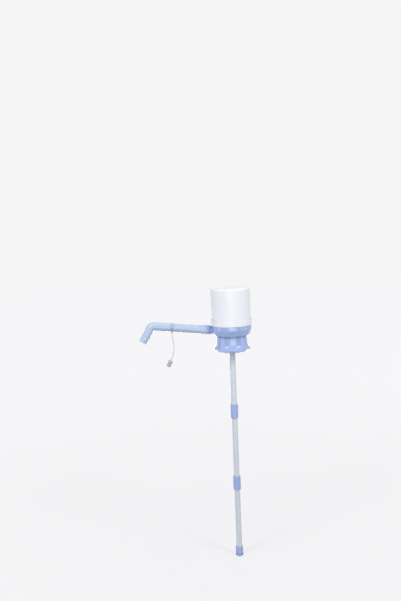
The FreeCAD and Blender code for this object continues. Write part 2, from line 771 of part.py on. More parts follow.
def intake_foot():
    """Cap on the end of the tube with slots that keep it off the jug's floor."""
    bore_r = TUBE_R + PUSH_GAP
    floor = -JUG_DEPTH + FOOT_WALL
    foot = turned([
        (0, -JUG_DEPTH),
        (bore_r + FOOT_WALL, -JUG_DEPTH, -LEAD_IN),
        (bore_r + FOOT_WALL, -JUG_DEPTH + FOOT_HEIGHT, -LEAD_IN),
        (bore_r, -JUG_DEPTH + FOOT_HEIGHT),
        (bore_r, tube_bottom),
        (tube_inner_r, tube_bottom),
        (tube_inner_r, floor),
        (0, floor),
    ])
    for slot in range(FOOT_SLOTS):
        angle = 360 / FOOT_SLOTS * (slot + 0.5)
        slot_top = -JUG_DEPTH + FOOT_SLOT_HEIGHT
        foot = foot.cut(radial_slot(FOOT_SLOT, 2 * TUBE_R, -JUG_DEPTH - FOOT_WALL, slot_top, angle))
    return foot


# ---------------------------------------------------------------- all nodes
def build():
    """Every node of the pump by name."""
    inner_seal, outer_seal = seal_starts()
    parts = {
        "press_cup": press_cup(),
        "bellows_top_plug": bellows_top_plug(),
        "collar_housing": collar_housing(),
        "cup_retaining_ring": cup_retaining_ring(),
        "bellows": bellows(),
        "bellows_clamp_ring": bellows_clamp_ring(),
        "inlet_valve_cage": inlet_valve_cage(),
        "inlet_ball": inlet_ball(),
        "inlet_stem_seal": inlet_stem_seal(),
        "outlet_ball": outlet_ball(),
        "outlet_ball_stop": outlet_ball_stop(),
        "spout_seal_inner": spout_seal(inner_seal),
        "spout_seal_outer": spout_seal(outer_seal),
        "neck_barrel": neck_barrel(),
        "neck_gasket": neck_gasket(),
        "lock_ring": lock_ring(),
        "grip_ring": grip_ring(),
        "spout_arm": spout_arm(),
        "tether_ring": tether_ring(),
        "tether_strap": tether_strap(),
        "nozzle_stopper": nozzle_stopper(),
        "intake_foot": intake_foot(),
    }
    sections = ["dip_tube_upper", "dip_tube_middle", "dip_tube_lower"]
    for section, name in enumerate(sections):
        parts[name] = dip_tube(section)
    for joint, name in enumerate(["tube_coupler_upper", "tube_coupler_lower"]):
        parts[name] = tube_coupler(joint)
    return parts


os.makedirs("parts", exist_ok=True)
for node, shape in build().items():
    shape.exportStep("parts/" + node + ".step")
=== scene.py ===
"""Finishes, soft pieces, studio and camera for a hand pump that sits on a large water jug.

Fields and outlines are in millimetres, Blender's data is in metres.  +Z is up, the spout
points to -X and the origin is the centre of the jug's mouth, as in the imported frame.
"""

import functools
import json
import logging
import math
from abc import ABC, abstractmethod
from collections.abc import Callable, Iterable
from dataclasses import KW_ONLY, dataclass, field
from enum import Enum

import bmesh
import bpy
from mathutils import Matrix, Vector


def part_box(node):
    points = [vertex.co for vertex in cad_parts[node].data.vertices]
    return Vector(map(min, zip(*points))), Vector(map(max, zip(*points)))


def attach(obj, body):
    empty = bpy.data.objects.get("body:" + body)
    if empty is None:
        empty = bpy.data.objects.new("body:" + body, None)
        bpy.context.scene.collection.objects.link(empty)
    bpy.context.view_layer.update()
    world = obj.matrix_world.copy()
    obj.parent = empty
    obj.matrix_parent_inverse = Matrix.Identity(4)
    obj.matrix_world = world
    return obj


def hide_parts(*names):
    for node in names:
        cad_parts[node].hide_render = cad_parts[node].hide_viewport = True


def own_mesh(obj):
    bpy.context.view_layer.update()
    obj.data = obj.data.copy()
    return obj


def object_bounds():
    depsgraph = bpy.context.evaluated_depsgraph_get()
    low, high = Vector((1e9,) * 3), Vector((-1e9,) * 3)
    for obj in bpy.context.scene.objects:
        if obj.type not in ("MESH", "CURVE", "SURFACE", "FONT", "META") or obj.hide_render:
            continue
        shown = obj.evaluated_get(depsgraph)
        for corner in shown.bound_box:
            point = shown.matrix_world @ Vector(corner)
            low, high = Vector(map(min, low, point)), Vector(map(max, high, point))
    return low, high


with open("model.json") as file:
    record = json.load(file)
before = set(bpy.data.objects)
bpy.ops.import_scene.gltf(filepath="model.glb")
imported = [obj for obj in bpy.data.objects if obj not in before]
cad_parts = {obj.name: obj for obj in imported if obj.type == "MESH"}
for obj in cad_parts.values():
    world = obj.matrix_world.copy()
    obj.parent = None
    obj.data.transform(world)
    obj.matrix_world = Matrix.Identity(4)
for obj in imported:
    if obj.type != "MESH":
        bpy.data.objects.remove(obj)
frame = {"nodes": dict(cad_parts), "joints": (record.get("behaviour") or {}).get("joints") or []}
CAD_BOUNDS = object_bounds()

LOG = logging.getLogger("jug_pump")
MM = 0.001
SEGMENTS = 128                      # facets round a turned piece
ARC_STEP = math.radians(12)         # turn of one facet round a rounded corner
SHARP_ANGLE = math.radians(35)
SIDE_SHARE = 0.49                   # most of a side that one rounding takes
NO_DISTANCE = 0.01 * MM             # what counts as no distance
MIX_FACTOR, MIX_A, MIX_B, MIX_COLOUR = 0, 6, 7, 2     # sockets of a colour mix
NOISE_SPREAD = (0.3, 0.7)           # range that most of a noise pattern stays in
OPEN_SURFACE, DEEP_CREVICE = 0.85, 0.35     # openness at which painted crevice shade starts and is full
SEAL_STEPS = 20                     # facets round a seal's section
SEAL_HALF_WIDTH = 0.42              # of a squeezed seal, as a share of its groove's width

Range = tuple[float, float]
Triple = tuple[float, float, float]
Outline = list[tuple[float, ...]]   # (radius, height[, rounding]) of each corner
Relief = Callable[[float, float, float], float]     # depth by angle, radius and height
Socket = bpy.types.NodeSocket
SocketValue = Socket | float | tuple[float, ...] | None     # None leaves the node's own value


class Body(Enum):
    """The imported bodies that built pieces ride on."""

    PUMP = "pump_body"
    TETHER = "tether"


# -------------------- shader helpers
def linear(hex_colour: str) -> tuple[float, float, float, float]:
    """Turn an sRGB colour into the linear one that shaders take.

    Args:
        hex_colour: The colour as "#RRGGBB".

    Returns:
        Linear red, green, blue and an alpha of 1.
    """
    channels = [int(hex_colour[start:start + 2], 16) / 255 for start in (1, 3, 5)]
    red, green, blue = (
        value / 12.92 if value <= 0.04045 else ((value + 0.055) / 1.055) ** 2.4
        for value in channels
    )
    return red, green, blue, 1.0


def per_metre(size: float) -> float:
    """Texture scale at which one feature of a pattern is this many millimetres wide."""
    return 1.0 / (size * MM)


def add_node(
    tree: bpy.types.NodeTree,
    kind: str,
    inputs: dict[str | int, SocketValue] | None = None,
    **settings: object,
) -> bpy.types.NodeOutputs:
    """Add one shader node, set its options and fill its inputs.

    Args:
        tree: The node tree of a material or of the world.
        kind: Blender's identifier for the type of node.
        inputs: Values, or output sockets to link, by the input's name or number.
        settings: The node's own options by attribute name.

    Returns:
        The new node's outputs.
    """
    node = tree.nodes.new(kind)
    for option, value in settings.items():
        setattr(node, option, value)
    for key, value in (inputs or {}).items():
        if isinstance(value, Socket):
            tree.links.new(value, node.inputs[key])
        elif value is not None:
            node.inputs[key].default_value = value
    return node.outputs


def calculate(tree: bpy.types.NodeTree, operation: str, *values: SocketValue) -> Socket:
    """Add one calculation, by Blender's name for it, and return its result's output socket."""
    return add_node(tree, "ShaderNodeMath", dict(enumerate(values)), operation=operation)[0]


@dataclass(frozen=True)
class Patterns:
    """Adds the patterns that surfaces are made of.

    Attributes:
        tree: The material's nodes.
    """

    tree: bpy.types.NodeTree

    def place(self) -> Socket:
        """Coordinates on the piece in metres."""
        return add_node(self.tree, "ShaderNodeTexCoord")["Object"]

    def noise(
        self, width: float, detail: float, roughness: float = 0.5, distortion: float = 0.0,
        flow: Triple | None = None,
    ) -> Socket:
        """Add a pattern of clouds.

        Args:
            width: Width of a cloud in millimetres.
            detail: Number of finer patterns laid over the clouds.
            roughness: How strong each of those is against the one before.
            distortion: How much the clouds swirl.
            flow: How much they shrink along X, Y and Z.

        Returns:
            Output socket that mostly stays within NOISE_SPREAD.
        """
        place = self.place()
        if flow:
            place = add_node(self.tree, "ShaderNodeMapping", {"Vector": place, "Scale": flow})[0]
        return add_node(self.tree, "ShaderNodeTexNoise", {
            "Vector": place, "Scale": per_metre(width), "Detail": detail,
            "Roughness": roughness, "Distortion": distortion,
        })["Fac"]

    def remap(
        self, value: Socket, start: float, end: float, low: float = 0.0, high: float = 1.0,
        shape: str = "LINEAR",
    ) -> Socket:
        """Add a map of one range onto another, held at its ends.

        Args:
            value: The value to map.
            start: Value that becomes low.
            end: Value that becomes high.
            low: Result at the start.
            high: Result at the end.
            shape: Blender's name for the map's curve.

        Returns:
            Output socket of the result.
        """
        return add_node(self.tree, "ShaderNodeMapRange", {
            "Value": value, "From Min": start, "From Max": end, "To Min": low, "To Max": high,
        }, interpolation_type=shape)["Result"]

    def blend(self, share: Socket, first: SocketValue, second: SocketValue) -> Socket:
        """Add a mix of two colours.

        Args:
            share: Share of the second colour.
            first: The first colour.
            second: The second colour.

        Returns:
            Output socket of the mixed colour.
        """
        return add_node(self.tree, "ShaderNodeMix", {
            MIX_FACTOR: share, MIX_A: first, MIX_B: second,
        }, data_type="RGBA")[MIX_COLOUR]

    def bump(self, height: Socket, depth: float, strength: float, normal: Socket | None = None) -> Socket:
        """Add fine relief to a surface.

        Args:
            height: Pattern of the relief.
            depth: Height of the relief in millimetres.
            strength: How fully the relief turns the surface.
            normal: The surface's own normal, if it isn't the mesh's.

        Returns:
            Output socket of the new normal.
        """
        return add_node(self.tree, "ShaderNodeBump", {
            "Height": height, "Distance": depth * MM, "Strength": strength, "Normal": normal,
        })["Normal"]

    def crevice_shade(self, reach: float) -> Socket:
        """Find seams, steps and recesses, where the colour is darkened as painted shade.

        Args:
            reach: How far from the bottom of a crevice the painted shade still reaches, in millimetres.

        Returns:
            Output socket that is 0 on open surfaces and 1 deep in a crevice.
        """
        openness = add_node(self.tree, "ShaderNodeAmbientOcclusion", {"Distance": reach * MM}, samples=8)
        return self.remap(openness["AO"], OPEN_SURFACE, DEEP_CREVICE)


def empty_material(name: str) -> bpy.types.Material:
    """New node material with nothing in its tree.

    Args:
        name: Name of the material.

    Returns:
        The material.
    """
    material = bpy.data.materials.new(name)
    material.use_nodes = True
    material.node_tree.nodes.clear()
    return material


# -------------------- finishes
@dataclass(frozen=True)
class Plastic(ABC):
    """A plastic, which is one principled shader.

    Attributes:
        name: Name of the material.
        colour: Colour of the clean and even plastic.
        roughness: Roughness of the surface where it is smoothest and where it is roughest.
        ior: Refractive index.
        glow: Share of the light that goes under the surface.
        bleed: How far light wanders under the surface.
        tint: Shares of that for red, green and blue.
    """

    name: str
    colour: str
    _: KW_ONLY
    roughness: Range
    ior: float = 1.49
    glow: float = 0.1
    bleed: float = 1.5
    tint: Triple = (1.0, 1.0, 1.0)

    @abstractmethod
    def sockets(self, patterns: Patterns) -> dict[str, SocketValue]:
        """Build what is special to this plastic.

        Args:
            patterns: Adds them to the material.

        Returns:
            What goes into the shader, by its inputs' names.
        """

    def material(self) -> bpy.types.Material:
        """Build the material.

        Returns:
            The material with its one shader.
        """
        material = empty_material(self.name)
        tree = material.node_tree
        shader = add_node(tree, "ShaderNodeBsdfPrincipled", {
            "IOR": self.ior,
            "Subsurface Weight": self.glow,
            "Subsurface Scale": self.bleed * MM,
            "Subsurface Radius": self.tint,
            **self.sockets(Patterns(tree)),
        })
        add_node(tree, "ShaderNodeOutputMaterial", {"Surface": shader["BSDF"]})
        return material


@dataclass(frozen=True)
class MouldedPlastic(Plastic):
    """Injection-moulded thermoplastic with a satin surface.

    The mould's spark-eroded wall leaves a fine grain that softens reflections, the melt
    leaves clouds of pigment drawn out along its flow, thin walls let a little light
    through, and handling polishes and pales the edges. Seams, steps and recesses are darkened with
    painted shade.

    Attributes:
        thick_colour: Deeper colour of the clouds.
        worn_colour: Paler colour of rubbed edges.
        painted_shade_colour: Colour of the painted shade deep in a seam or recess.
        painted_shade_reach: How far the painted shade reaches out of a seam.
        cloud: Width of a pigment cloud.
        cloud_spread: Values of the pattern at the edge and in the middle of a cloud.
        cloud_share: Share of the deeper colour in the middle.
        flow: How much the clouds shrink along X, Y and Z.
        rub_width: Width of the rubbed strip beside an edge.
        rub_lean: Cosine of the rounded normal's lean where rubbing starts and where it is full.
        rub_share: Share of the paler colour on the edge itself.
        mark: Width of a finger mark.
        grain: Spacing of the mould's grain.
        grain_depth: Height of that grain.
        clear_skin: Share of the surface on which the resin set clear and glossy over the pigment.
        clear_roughness: Roughness of that skin.
    """

    thick_colour: str
    worn_colour: str
    painted_shade_colour: str
    painted_shade_reach: float = 2.5
    cloud: float = 9.0
    cloud_spread: Range = (0.35, 0.75)
    cloud_share: float = 0.55
    flow: Triple = (1.0, 1.0, 0.25)
    rub_width: float = 0.6
    rub_lean: Range = (0.99, 0.80)
    rub_share: float = 0.45
    mark: float = 14.0
    grain: float = 0.35
    grain_depth: float = 0.006
    clear_skin: float = 0.0
    clear_roughness: float = 0.1

    def pigment(self, patterns: Patterns) -> Socket:
        """Colour of the plastic before wear.

        Args:
            patterns: Adds them to the material.

        Returns:
            The colour's output socket.
        """
        clouds = patterns.noise(self.cloud, detail=4.0, roughness=0.55, flow=self.flow)
        share = patterns.remap(clouds, *self.cloud_spread, high=self.cloud_share)
        return patterns.blend(share, linear(self.colour), linear(self.thick_colour))

    def sockets(self, patterns: Patterns) -> dict[str, SocketValue]:
        """Build the pigment's clouds, rubbed edges, painted shade in crevices, finger marks and grain.

        Args:
            patterns: Adds them to the material.

        Returns:
            What goes into the shader, by its inputs' names.
        """
        tree = patterns.tree
        # A rounded normal differs from the true one only beside an edge, where hands rub.
        true_normal = add_node(tree, "ShaderNodeNewGeometry")["Normal"]
        round_normal = add_node(tree, "ShaderNodeBevel", {"Radius": self.rub_width * MM}, samples=4)[0]
        lean = add_node(tree, "ShaderNodeVectorMath", {
            0: true_normal, 1: round_normal,
        }, operation="DOT_PRODUCT")["Value"]
        rubbed = patterns.remap(lean, *self.rub_lean, high=self.rub_share)
        worn = patterns.blend(rubbed, self.pigment(patterns), linear(self.worn_colour))
        # Painted shade: the colour darkens towards a dark shade in seams, steps and recesses.
        colour = patterns.blend(patterns.crevice_shade(self.painted_shade_reach), worn, linear(self.painted_shade_colour))
        # Fingers polish the satin in some places and leave a dull film in others.
        marks = patterns.noise(self.mark, detail=3.0, roughness=0.6)
        # The real grain is near 0.05 mm, which would not show, so it is drawn coarser.
        grain = patterns.noise(self.grain, detail=2.0)
        return {
            "Base Color": colour,
            "Roughness": patterns.remap(marks, *NOISE_SPREAD, *self.roughness),
            "Normal": patterns.bump(grain, self.grain_depth, strength=0.6, normal=round_normal),
            "Coat Weight": self.clear_skin,
            "Coat Roughness": self.clear_roughness,
            "Coat IOR": self.ior,
        }


@dataclass(frozen=True)
class SpoutPlastic(MouldedPlastic):
    """Moulded plastic that deepens towards the collar: partly the colour of the spout's thicker sleeve,
    partly painted shade where the spout meets the collar.

    Attributes:
        sleeve_and_shade_colour: Colour of the thick sleeve, with painted shade beside the collar.
        deep_from: Distance from the pump's axis at which the colour starts to deepen.
        deep_to: Distance at which it is deepest.
    """

    sleeve_and_shade_colour: str = "#8CA2E0"
    deep_from: float = 57.0
    deep_to: float = 44.0

    def pigment(self, patterns: Patterns) -> Socket:
        """Colour of the plastic before wear, deeper towards the collar, partly as painted shade.

        Args:
            patterns: Adds them to the material.

        Returns:
            The colour's output socket.
        """
        along = add_node(patterns.tree, "ShaderNodeSeparateXYZ", {"Vector": patterns.place()})["X"]
        # Deeper towards the collar: the sleeve's colour, darkest beside the collar as painted shade.
        deep = patterns.remap(along, -self.deep_from * MM, -self.deep_to * MM, shape="SMOOTHSTEP")
        return patterns.blend(deep, super().pigment(patterns), linear(self.sleeve_and_shade_colour))


@dataclass(frozen=True)
class ExtrudedTube(Plastic):
    """Extruded natural polyethylene tube, milky, with the die's fine lines along it.

    Light goes far into the wall, so that shading is soft, and the lines break up the
    reflections into streaks along the tube.

    Attributes:
        band_colour: Colour of denser bands along the tube.
        band: Length of such a band, over which the draw speeds up and slows down.
        line: Spacing of the die lines round the tube.
        line_depth: Height of the die lines.
        line_flow: How much the lines' pattern shrinks along X, Y and Z.
    """

    band_colour: str
    band: float = 60.0
    line: float = 0.4
    line_depth: float = 0.01
    line_flow: Triple = (1.0, 1.0, 0.01)

    def sockets(self, patterns: Patterns) -> dict[str, SocketValue]:
        """Build the bands and the die lines.

        Args:
            patterns: Adds them to the material.

        Returns:
            What goes into the shader, by its inputs' names.
        """
        lines = patterns.noise(self.line, detail=2.0, flow=self.line_flow)
        bands = patterns.noise(self.band, detail=2.0)
        return {
            "Base Color": patterns.blend(bands, linear(self.colour), linear(self.band_colour)),
            "Roughness": patterns.remap(lines, *NOISE_SPREAD, *self.roughness),
            "Normal": patterns.bump(lines, self.line_depth, strength=0.5),
        }


@dataclass(frozen=True)
class SoftPlastic(Plastic):
    """Soft rubbery plastic with a matte, slightly waxy skin and a little dust.

    Attributes:
        dust: Colour of the dust that clings to it.
        patch: Width of a patch of dust.
        patch_spread: Values of the pattern at the edge and in the middle of a patch.
        patch_share: Share of the dust's colour in the middle.
        wrinkle: Spacing of the skin's fine wrinkles.
        wrinkle_depth: Height of the wrinkles.
    """

    dust: str
    patch: float = 3.5
    patch_spread: Range = (0.45, 0.8)
    patch_share: float = 0.5
    wrinkle: float = 0.6
    wrinkle_depth: float = 0.015

    def sockets(self, patterns: Patterns) -> dict[str, SocketValue]:
        """Build the dust and the wrinkles.

        Args:
            patterns: Adds them to the material.

        Returns:
            What goes into the shader, by its inputs' names.
        """
        patches = patterns.noise(self.patch, detail=5.0, roughness=0.65)
        dusty = patterns.remap(patches, *self.patch_spread, high=self.patch_share)
        wrinkles = patterns.noise(self.wrinkle, detail=3.0)
        return {
            "Base Color": patterns.blend(dusty, linear(self.colour), linear(self.dust)),
            "Roughness": patterns.remap(patches, *NOISE_SPREAD, *self.roughness),
            "Normal": patterns.bump(wrinkles, self.wrinkle_depth, strength=0.5),
        }


@dataclass(frozen=True)
class PolishedAcetal(Plastic):
    """Ground and tumbled acetal ball: even, hard and glossy, with faint grinding marks.

    Attributes:
        mark_colour: Colour of the marks.
        mark: Width of a mark.
    """

    mark_colour: str
    mark: float = 0.8

    def sockets(self, patterns: Patterns) -> dict[str, SocketValue]:
        """Build the grinding marks.

        Args:
            patterns: Adds them to the material.

        Returns:
            What goes into the shader, by its inputs' names.
        """
        marks = patterns.noise(self.mark, detail=6.0, distortion=0.6)
        return {
            "Base Color": patterns.blend(marks, linear(self.colour), linear(self.mark_colour)),
            "Roughness": patterns.remap(marks, *NOISE_SPREAD, *self.roughness),
        }


class Finish(Enum):
    """The finishes of the pump's pieces."""

    # In each moulded plastic the fourth colour darkens its seams and recesses as painted shade.
    # White polypropylene, moulded in a satin tool: cool white with soft broad reflections.
    WHITE_SHELL = MouldedPlastic(
        "white_polypropylene", "#F5F7FA", "#EBEEF5", "#FAFBFC", "#C6CDE2",
        roughness=(0.31, 0.42), cloud=16.0,
    )
    # Blue-pigmented polypropylene: the pigment's clouds show more than in the white, and the
    # polished tool leaves a clear skin, in which lamps stand as small bright ovals.
    BLUE_SHELL = MouldedPlastic(
        "periwinkle_polypropylene", "#A2B8E5", "#8EA4DB", "#B4C4EC", "#2E3A70",
        painted_shade_reach=3.0, roughness=(0.17, 0.28), cloud=11.0, clear_skin=0.8,
    )
    # The same with less pigment, moulded thin, so that it is paler and lets light through.
    PALE_SPOUT = SpoutPlastic(
        "pale_blue_polypropylene", "#C0D0E6", "#B1C3E2", "#CFDAEE", "#4F5F94",
        painted_shade_reach=3.0, roughness=(0.22, 0.33), cloud=13.0, flow=(0.2, 1.0, 1.0),
        grain_depth=0.002, bleed=2.5, glow=0.2,
    )
    # Unpigmented nylon: translucent off-white.
    NATURAL_COLLET = MouldedPlastic(
        "natural_nylon", "#E2E3DE", "#D6D7CE", "#EDEDE9", "#A9A99F",
        roughness=(0.37, 0.48), cloud=6.0, bleed=3.0, glow=0.3,
    )
    # Blow-moulded low-density polyethylene: waxy, thin and translucent.
    BELLOWS = SoftPlastic(
        "blown_polyethylene", "#DEE1E0", "#CFD1CD",
        roughness=(0.36, 0.52), ior=1.43, bleed=2.0, glow=0.45,
    )
    # Moulded silicone: milky and matte, and dust clings to it.
    SEAL = SoftPlastic(
        "moulded_silicone", "#D2D7DD", "#BEC2C6",
        roughness=(0.49, 0.65), ior=1.41, bleed=2.0, glow=0.35,
    )
    # Soft moulded vinyl: pale and waxy, with a soft highlight.
    STRAP = SoftPlastic(
        "soft_vinyl", "#D7D9DC", "#C4C6C9", roughness=(0.32, 0.48), ior=1.53, bleed=1.2, glow=0.35,
    )
    # The same vinyl, greyer: the grey is painted shade that gives the stopper its darker look. It is also
    # duller and lets less light through.
    SHADED_STOPPER = SoftPlastic(
        "shaded_vinyl", "#BDBFC3", "#A2A4A9", roughness=(0.40, 0.56), ior=1.53, bleed=0.6, glow=0.15,
    )
    # Hard white acetal: small sharp highlights on a milky ball, which glows a little warm.
    BALL = PolishedAcetal(
        "acetal", "#EDEEEC", "#E0E1DE",
        roughness=(0.1, 0.2), ior=1.48, bleed=1.0, glow=0.2, tint=(1.0, 0.2, 0.1),
    )
    # Natural polyethylene: a milky wall that scatters most of the light which enters it.
    TUBE = ExtrudedTube(
        "extruded_polyethylene", "#E3EAF2", "#D3DDEA",
        roughness=(0.22, 0.34), ior=1.51, bleed=4.0, glow=0.5, tint=(0.9, 1.0, 1.1),
    )
    # Polypropylene from the collar's batch, tumbled with other small parts, so duller.
    COUPLER = MouldedPlastic(
        "tumbled_blue_polypropylene", "#A9BBE8", "#97AAE0", "#C6D2F0", "#56659F",
        roughness=(0.39, 0.50), cloud=7.0,
    )


@functools.cache
def material_of(finish: Finish) -> bpy.types.Material:
    """The finish's material, built on its first use."""
    return finish.value.material()


# -------------------- mesh helpers
def rounded(corners: Outline) -> list[Vector]:
    """Round the corners of a closed outline.

    Args:
        corners: (radius, height[, rounding]) of each corner in millimetres.

    Returns:
        Points of the rounded outline as (radius, height) in metres.
    """
    points: list[Vector] = []
    for index, (reach, height, *edge) in enumerate(corners):
        here = Vector((reach, height)) * MM
        if not edge:
            points.append(here)
            continue
        back = Vector(corners[index - 1][:2]) * MM - here
        ahead = Vector(corners[(index + 1) % len(corners)][:2]) * MM - here
        half = back.angle(ahead) / 2
        setback = min(edge[0] * MM / math.tan(half), SIDE_SHARE * back.length, SIDE_SHARE * ahead.length)
        middle = (back.normalized() + ahead.normalized()).normalized()
        centre = here + middle * setback / math.cos(half)
        start = here + back.normalized() * setback - centre
        end = here + ahead.normalized() * setback - centre
        turn = math.pi - 2 * half
        steps = max(2, math.ceil(turn / ARC_STEP))
        for step in range(steps + 1):
            swept = turn * step / steps
            offset = (start * math.sin(turn - swept) + end * math.sin(swept)) / math.sin(turn)
            points.append(centre + offset)
    return points


def as_object(name: str, mesh: bmesh.types.BMesh) -> bpy.types.Object:
    """Turn a finished bmesh into an object in the scene.

    Args:
        name: Name of the piece.
        mesh: The mesh, which is freed.

    Returns:
        The new object, shaded smooth except across its sharp edges.
    """
    bmesh.ops.recalc_face_normals(mesh, faces=mesh.faces)
    for face in mesh.faces:
        face.smooth = True
    data = bpy.data.meshes.new(name)
    mesh.to_mesh(data)
    mesh.free()
    data.set_sharp_from_angle(angle=SHARP_ANGLE)
    piece = bpy.data.objects.new(name, data)
    bpy.context.scene.collection.objects.link(piece)
    return piece


def turned(
    name: str, points: list[Vector], place: Matrix | None = None, relief: Relief | None = None
) -> bpy.types.Object:
    """Turn a closed outline about the Z axis.

    Args:
        name: Name of the piece.
        points: (radius, height) of the outline's points in metres.
        place: Where the piece's own axis lies in the frame.
        relief: How far the surface lies inside its radius, by angle, radius and height.

    Returns:
        The new object.
    """
    place = place or Matrix()
    mesh = bmesh.new()
    rings: list[list[bmesh.types.BMVert]] = []
    for reach, height in points:
        if reach < NO_DISTANCE:
            rings.append([mesh.verts.new(place @ Vector((0, 0, height)))])
            continue
        ring = []
        for step in range(SEGMENTS):
            angle = math.tau * step / SEGMENTS
            cut = reach - (relief(angle, reach, height) if relief else 0.0)
            point = Vector((cut * math.cos(angle), cut * math.sin(angle), height))
            ring.append(mesh.verts.new(place @ point))
        rings.append(ring)
    for ring, following in zip(rings, rings[1:] + rings[:1]):
        close_band(mesh, ring, following)
    return as_object(name, mesh)


def close_band(
    mesh: bmesh.types.BMesh, ring: list[bmesh.types.BMVert], following: list[bmesh.types.BMVert]
) -> None:
    """Skin the band between two rings of points, either of which may be a single point.

    Args:
        mesh: The mesh that gets the band.
        ring: Points of the first ring.
        following: Points of the second ring.
    """
    if len(ring) == len(following) == 1:
        return
    for step in range(SEGMENTS):
        ahead = (step + 1) % SEGMENTS
        corners = (
            ring[step % len(ring)], ring[ahead % len(ring)],
            following[ahead % len(following)], following[step % len(following)],
        )
        mesh.faces.new(list(dict.fromkeys(corners)))


# -------------------- what the sub-assemblies share
@dataclass
class SubAssembly:
    """A group of pieces that is built and dressed together."""

    def dress(self, finish: Finish, nodes: Iterable[str]) -> None:
        """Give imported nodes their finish.

        Args:
            finish: The finish of all of them.
            nodes: Names of the nodes.
        """
        for name in nodes:
            for material_slot in frame["nodes"][name].material_slots:
                material_slot.material = material_of(finish)
            LOG.info("dressed %s with %s", name, finish.value.name)

    def fit(
        self, piece: bpy.types.Object, body: Body, finish: Finish, slot: str,
        stands_for: Iterable[str] = (),
    ) -> None:
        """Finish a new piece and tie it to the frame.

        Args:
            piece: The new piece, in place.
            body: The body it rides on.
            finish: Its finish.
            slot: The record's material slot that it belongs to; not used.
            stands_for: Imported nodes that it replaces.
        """
        piece.data.materials.append(material_of(finish))
        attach(piece, body.value)
        if stands_for:
            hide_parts(*stands_for)
        LOG.info("built %s on %s", piece.name, body.value)


def place_on_spout(node: str) -> Matrix:
    """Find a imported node's place on the spout's axis, with its Z outwards and its X upwards.

    Args:
        node: Name of the node.

    Returns:
        The place of the node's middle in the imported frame.
    """
    joint = next(entry for entry in frame["joints"] if entry["name"] == "spout_swivel")
    outward = Vector(joint["axis"]).normalized()
    sideways = Vector((0, 1, 0))
    turn = Matrix((sideways.cross(outward), sideways, outward)).transposed().to_4x4()
    base = Vector(joint["pos_m"])
    low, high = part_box(node)
    distance = ((low + high) / 2 - base).dot(outward)
    return Matrix.Translation(base + outward * distance) @ turn


# -------------------- sub-assemblies
@dataclass
class PressHead(SubAssembly):
    """The cup that the palm pushes down and the plug under its roof."""

    def build(self) -> None:
        """Dress the cup and the plug."""
        self.dress(Finish.WHITE_SHELL, ["press_cup", "bellows_top_plug"])


@dataclass
class PumpChamber(SubAssembly):
    """Collar, retaining ring, bellows and both ball valves.

    Attributes:
        folds: Number of inward folds of the bellows.
        fold_depth: Depth of a fold.
        fold_rounding: Rounding of the folds' crests and valleys.
        wall: Thickness of the bellows.
        cuff_r: Radius of the lower cuff.
        cuff_top: Height at which the folds start.
        neck_r: Radius of the upper cuff.
        neck_bottom: Height at which the folds end.
        cuff_edge: Rounding of the cuffs' free ends.
        head_stroke: Travel of the press cup; not used.
        stem_groove_r: Radius of the floor of the stem seal's groove.
    """

    folds: int = 5
    fold_depth: float = 5.0
    fold_rounding: float = 1.7
    wall: float = 0.8
    cuff_r: float = 37.0
    cuff_top: float = 43.3
    neck_r: float = 35.2
    neck_bottom: float = 102.0
    cuff_edge: float = 0.3
    head_stroke: float = 15.0
    stem_groove_r: float = 5.0

    def build(self) -> None:
        """Dress the rigid pieces and build the bellows and the stem's seal."""
        self.dress(Finish.BLUE_SHELL, ["collar_housing"])
        self.dress(Finish.WHITE_SHELL, ["cup_retaining_ring"])
        self.dress(Finish.NATURAL_COLLET, ["bellows_clamp_ring", "inlet_valve_cage", "outlet_ball_stop"])
        self.dress(Finish.BALL, ["inlet_ball", "outlet_ball"])
        self.build_bellows()
        low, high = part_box("inlet_stem_seal")
        place = Matrix.Translation((0, 0, (low.z + high.z) / 2))
        seal = ring_seal("stem_ring_seal", self.stem_groove_r, high.x / MM, (high.z - low.z) / MM, place)
        self.fit(seal, Body.PUMP, Finish.SEAL, "seal_rubber", ["inlet_stem_seal"])

    def build_bellows(self) -> None:
        """Build the folded sleeve."""
        low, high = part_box("bellows")
        crest_r = high.x / MM
        pitch = (self.neck_bottom - self.cuff_top) / self.folds
        outside: Outline = [(self.cuff_r, low.z / MM, self.cuff_edge), (self.cuff_r, self.cuff_top, 1.0)]
        for fold in range(self.folds):
            middle = self.cuff_top + pitch * (fold + 0.5)
            outside.append((crest_r - self.fold_depth, middle, self.fold_rounding))
            if fold < self.folds - 1:
                outside.append((crest_r, middle + pitch / 2, self.fold_rounding))
        outside += [(self.neck_r, self.neck_bottom, 1.0), (self.neck_r, high.z / MM, self.cuff_edge)]
        inside = [(reach - self.wall, height, edge) for reach, height, edge in reversed(outside)]
        sleeve = turned("bellows_sleeve", rounded(outside + inside))
        self.fit(sleeve, Body.PUMP, Finish.BELLOWS, "soft_bellows", ["bellows"])
        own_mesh(sleeve)


def ring_seal(
    name: str, inner_r: float, outer_r: float, width: float, place: Matrix
) -> bpy.types.Object:
    """Build a sealing ring that is squeezed to an oval between its groove and its seat.

    Args:
        name: Name of the piece.
        inner_r: Radius of the groove's floor.
        outer_r: Radius of the seat.
        width: Width of the groove.
        place: Where the ring's own axis lies in the frame.

    Returns:
        The new object.
    """
    middle_r = (inner_r + outer_r) / 2
    points = []
    for step in range(SEAL_STEPS):
        angle = math.tau * step / SEAL_STEPS
        reach = middle_r + (outer_r - inner_r) / 2 * math.cos(angle)
        points.append(Vector((reach, SEAL_HALF_WIDTH * width * math.sin(angle))) * MM)
    return turned(name, points, place)


